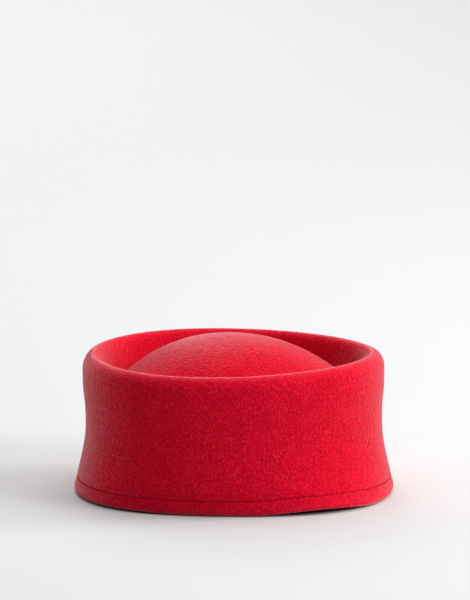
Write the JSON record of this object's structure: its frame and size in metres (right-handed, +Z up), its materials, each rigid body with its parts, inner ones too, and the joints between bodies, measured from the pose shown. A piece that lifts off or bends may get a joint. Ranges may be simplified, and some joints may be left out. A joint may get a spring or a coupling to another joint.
{
  "type": "beret",
  "caption": "Structured red felt beret: a low dome in a sunken ring, a rolled rim, a tall flared wall and a top-stitched hem with a sweatband inside.",
  "frame": {"origin": "middle of the footprint on the surface that the beret stands on", "axes": "+Z up through the dome, +X towards the wearer's forehead along the longest side, +Y towards the wearer's left"},
  "size_m": [0.2114, 0.179, 0.104],
  "materials": {
    "red_felt": "short-napped pressed wool felt, matt with a pale sheen at grazing angles",
    "hem_thread": "three-ply polyester sewing thread, slight sheen",
    "covered_wire": "millinery wire wound with cotton",
    "crimped_steel": "plain crimped sleeve",
    "grosgrain": "cross-ribbed ribbon, soft sheen",
    "woven_label": "blank damask-woven label",
    "satin_label": "blank satin ribbon"
  },
  "bodies": {
    "root": {"felt_body": "red_felt", "hem_needle_thread": "hem_thread", "hem_bobbin_thread": "hem_thread", "hem_wire": "covered_wire", "wire_joiner": "crimped_steel", "sweatband": "grosgrain", "sweatband_lap_stitch": "hem_thread", "brand_label": "woven_label", "label_tack_left": "hem_thread", "label_tack_right": "hem_thread", "care_label": "satin_label"}
  },
  "joints": []
}
